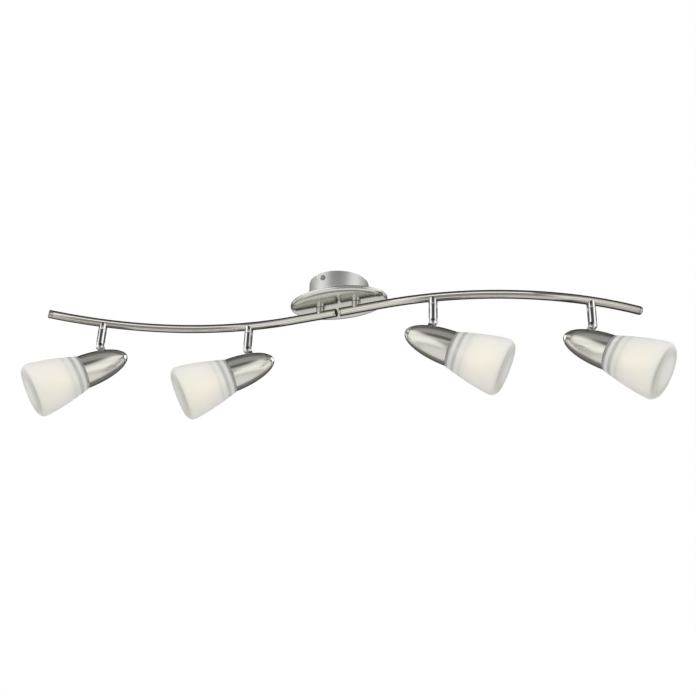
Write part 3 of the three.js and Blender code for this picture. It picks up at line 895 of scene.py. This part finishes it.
def shade(lamp, spot):
    """The glass from its neck outside to the thick front, then back along the hollow; one mesh for both nodes."""
    neck = BODY_LENGTH + GAP
    edge = GLASS_FRONT - 1 - GLASS_EDGE_RADIUS
    count = 40
    side = [neck + (edge - neck) * k / count for k in range(1, count + 1)]
    outer = [(s, glass_radius(s)) for s in side]
    rim = glass_radius(edge)
    rounding = [(edge + GLASS_EDGE_RADIUS * math.sin(a), rim - GLASS_EDGE_RADIUS * (1 - math.cos(a)))
                for a in [math.pi / 2 * k / 10 for k in range(1, 11)]]
    flat = rim - GLASS_EDGE_RADIUS
    front = [(GLASS_FRONT - (r / flat) ** 2, r) for r in [flat * k / 6 for k in (5, 4, 3, 2, 1, 0)]]
    inner = [(s, max(GLASS_NECK_BORE, glass_radius(s) - GLASS_WALL), 0)
             for s in reversed(side) if s < GLASS_FLOOR - 8]
    floor = rounded([(GLASS_FLOOR, 0), (GLASS_FLOOR, glass_radius(GLASS_FLOOR) - GLASS_WALL, 6.0)] + inner, 0, 8)
    outline = [(neck, GLASS_NECK_RADIUS - 0.4), (neck + 0.4, GLASS_NECK_RADIUS)] + outer + rounding + front + floor
    outline.append((neck, GLASS_NECK_BORE))
    return make(f"glass_{lamp}", turned(outline, 128, True), glass, spot)


def bulb(lamp, spot):
    base = HOLDER_FACE + GAP
    outline = rounded([(base, 0), (base, BULB_RADIUS - 0.8, 0.5), (base + 4, BULB_RADIUS, 1.0),
                       (BULB_TIP - 5, BULB_RADIUS, 4.0), (BULB_TIP - 1.5, 2.5, 2.0), (BULB_TIP, 0)], 0.5, 8)
    return make(f"capsule_bulb_{lamp}", turned(outline, 48), bulb_glass, spot)


# ---------- stage ----------


class Room(Tree):
    """The world's shader: how bright it is in each direction, as metal and glass see it."""

    def __init__(self, world):
        world.use_nodes = True
        super().__init__(world.node_tree)
        self.tree.nodes.clear()
        self.direction = self.add("ShaderNodeTexCoord").outputs["Generated"]
        split = self.add("ShaderNodeSeparateXYZ")
        self.link(self.direction, split.inputs["Vector"])
        self.x, self.y, self.z = (split.outputs[axis] for axis in "XYZ")
        self.side = self.math("ABSOLUTE", self.x)
        self.front = self.math("MULTIPLY", self.y, -1.0)
        self.down = self.math("MULTIPLY", self.z, -1.0)

    def between(self, value, low, high, soft):
        """1 where the value lies from low to high, fading over soft outside that."""
        rise = self.step(value, low - soft, low)
        fall = self.step(value, high + soft, high)
        return self.math("MULTIPLY", rise, fall)

    def both(self, strength, *masks):
        """The strength where all masks are 1."""
        product = strength
        for mask in masks:
            product = self.math("MULTIPLY", mask, product)
        return product

    def darken(self, brightness, depth, *masks):
        """The brightness lowered by the share depth where all masks are 1."""
        keep = self.math("ADD", self.both(-depth, *masks), 1.0)
        return self.math("MULTIPLY", brightness, keep)


def world_light():
    """A white tent; reflections also show its dim roof and the dark screens that give metal its edges."""
    world = bpy.data.worlds.new("tent")
    bpy.context.scene.world = world
    room = Room(world)
    roof = room.step(room.z, 0.62, 0.80)
    brightness = room.math("MULTIPLY_ADD", roof, -0.6, 1.0)
    brightness = room.darken(brightness, 0.7, roof, room.step(room.y, -0.3, -0.05))
    front = room.step(room.front, 0.2, 0.5)
    front_screen = (room.between(room.z, 0.40, 0.62, 0.14), front, room.between(room.side, -1, 0.42, 0.22))
    brightness = room.darken(brightness, 0.92, *front_screen)
    low_front = (room.step(room.z, 0.28, 0.12), front, room.between(room.side, -1, 0.34, 0.16))
    brightness = room.darken(brightness, 0.62, *low_front)
    high_sides = (room.between(room.z, 0.3, 0.56, 0.1), room.step(room.side, 0.6, 0.75),
                  room.step(room.y, 0.1, -0.1))
    brightness = room.math("ADD", brightness, room.both(0.25, *high_sides))
    side_glow = (room.between(room.z, -0.28, 0.05, 0.14), room.step(room.side, 0.36, 0.52),
                 room.step(room.y, 0.3, 0.0))
    brightness = room.math("ADD", brightness, room.both(0.32, *side_glow))
    floor_line = (room.between(room.down, 0.37, 0.50, 0.06), room.step(room.side, 0.5, 0.6))
    brightness = room.darken(brightness, 0.25, *floor_line)
    back = (room.step(room.y, 0.4, 0.65), room.step(room.z, 0.4, 0.2))
    brightness = room.darken(brightness, 0.78, *back)
    high_back = (room.between(room.z, 0.2, 0.72, 0.12), room.step(room.y, 0.05, 0.2),
                 room.between(room.side, -1, 0.55, 0.1))
    brightness = room.darken(brightness, 0.88, *high_back)
    high_edges = (room.between(room.z, 0.3, 0.48, 0.05), room.step(room.y, -0.15, 0.05),
                  room.step(room.side, 0.5, 0.65))
    brightness = room.darken(brightness, 0.88, *high_edges)
    lit = room.add("ShaderNodeBackground")
    lit.inputs["Color"].default_value = (1.0, 0.995, 0.975, 1)
    room.link(brightness, lit.inputs["Strength"])
    seen = room.add("ShaderNodeBackground")
    seen.inputs["Color"].default_value = (1, 1, 1, 1)
    path = room.add("ShaderNodeLightPath")
    mix = room.add("ShaderNodeMixShader")
    room.link(path.outputs["Is Glossy Ray"], mix.inputs["Fac"])
    room.link(seen.outputs["Background"], mix.inputs[1])
    room.link(lit.outputs["Background"], mix.inputs[2])
    out = room.add("ShaderNodeOutputWorld")
    room.link(mix.outputs["Shader"], out.inputs["Surface"])


def soft_light(name, toward, distance, size, brightness, only=None):
    """A rectangular soft light seen from the bar in a direction; only limits it to some pieces."""
    data = bpy.data.lights.new(name, "AREA")
    data.shape = "RECTANGLE"
    data.size, data.size_y = size
    data.energy = brightness * math.pi * size[0] * size[1]
    light = bpy.data.objects.new(name, data)
    bpy.context.scene.collection.objects.link(light)
    aim = Vector((0, 0, -0.08))
    light.location = aim + Vector(toward).normalized() * distance
    light.rotation_euler = (aim - light.location).to_track_quat("-Z", "Y").to_euler()
    light.visible_camera = False
    if only:
        receivers = bpy.data.collections.new(f"{name}_receivers")
        for piece in only:
            receivers.objects.link(piece)
        light.light_linking.receiver_collection = receivers
    return light


def stage():
    half_size, height = 6, -1.9  # in metres
    corners = [(-half_size, -half_size, height), (half_size, -half_size, height),
               (half_size, half_size, height), (-half_size, half_size, height)]
    paint = dull_solid("pale_floor", (0.85, 0.85, 0.84), 0.7, 3.0, 0.0001)
    floor = make("pale_floor", (corners, [(0, 1, 2, 3)]), paint, scale=1.0)
    floor.visible_glossy = False
    world_light()
    for side in (-1, 1):
        box = soft_light(f"soft_box_{side}", (0.80 * side, -0.58, -0.08), 2.2, (1.1, 1.0), 1.3)
        box.visible_glossy = False
    tubes = [bpy.data.objects[name] for name in ("bent_tube_left", "bent_tube_right")]
    soft_light("upper_strip", (-0.05, -0.88, 0.47), 1.6, (1.7, 0.5), 1.8, tubes)
    soft_light("lower_strip", (-0.05, -0.57, -0.82), 1.5, (2.4, 0.3), 0.75, tubes)
    caps = [bpy.data.objects[f"cap_{lamp}"] for lamp in LAMPS]
    for side in (-1, 1):
        soft_light(f"cap_glint_{side}", (0.66 * side, 0.48, 0.56), 1.4, (0.8, 0.7), 1.5, caps)
    soft_light("plate_fill", (-0.05, 0.89, -0.44), 1.6, (1.8, 1.0), 0.6, [bpy.data.objects["oval_plate"]])
    bpy.context.scene.view_settings.view_transform = "Standard"


def camera():
    """Below and in front of the bar, looking up; rolled a little, as the photograph was taken."""
    pitch, turn, roll = math.radians(26.2), math.radians(4.8), math.radians(2.0)
    distance, long_side_pixels, focal_pixels, sensor = 1.351, 696, 1000, 36.0
    aim_right, aim_down = 0.0119, 0.0842
    data = bpy.data.cameras.new("camera")
    data.sensor_width = sensor
    data.lens = focal_pixels / long_side_pixels * sensor
    data.clip_end = 50
    cam = bpy.data.objects.new("camera", data)
    bpy.context.scene.collection.objects.link(cam)
    heading = Matrix.Rotation(turn, 4, "Z")
    upward = Matrix.Rotation(math.pi / 2 + pitch, 4, "X")
    rolled = Matrix.Rotation(roll, 4, "Z")
    cam.matrix_world = heading @ upward @ rolled @ Matrix.Translation((aim_right, -aim_down, distance))
    bpy.context.scene.camera = cam


# ---------- everything ----------

bar()
canopy()
cover_plate()
for lamp, station in LAMPS.items():
    arm(lamp, station)
    head(lamp)
for node, material in (("ceiling_bracket", zinc), ("terminal_block", nylon)):
    repaint(node, material)
camera()
stage()

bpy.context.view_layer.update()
import json
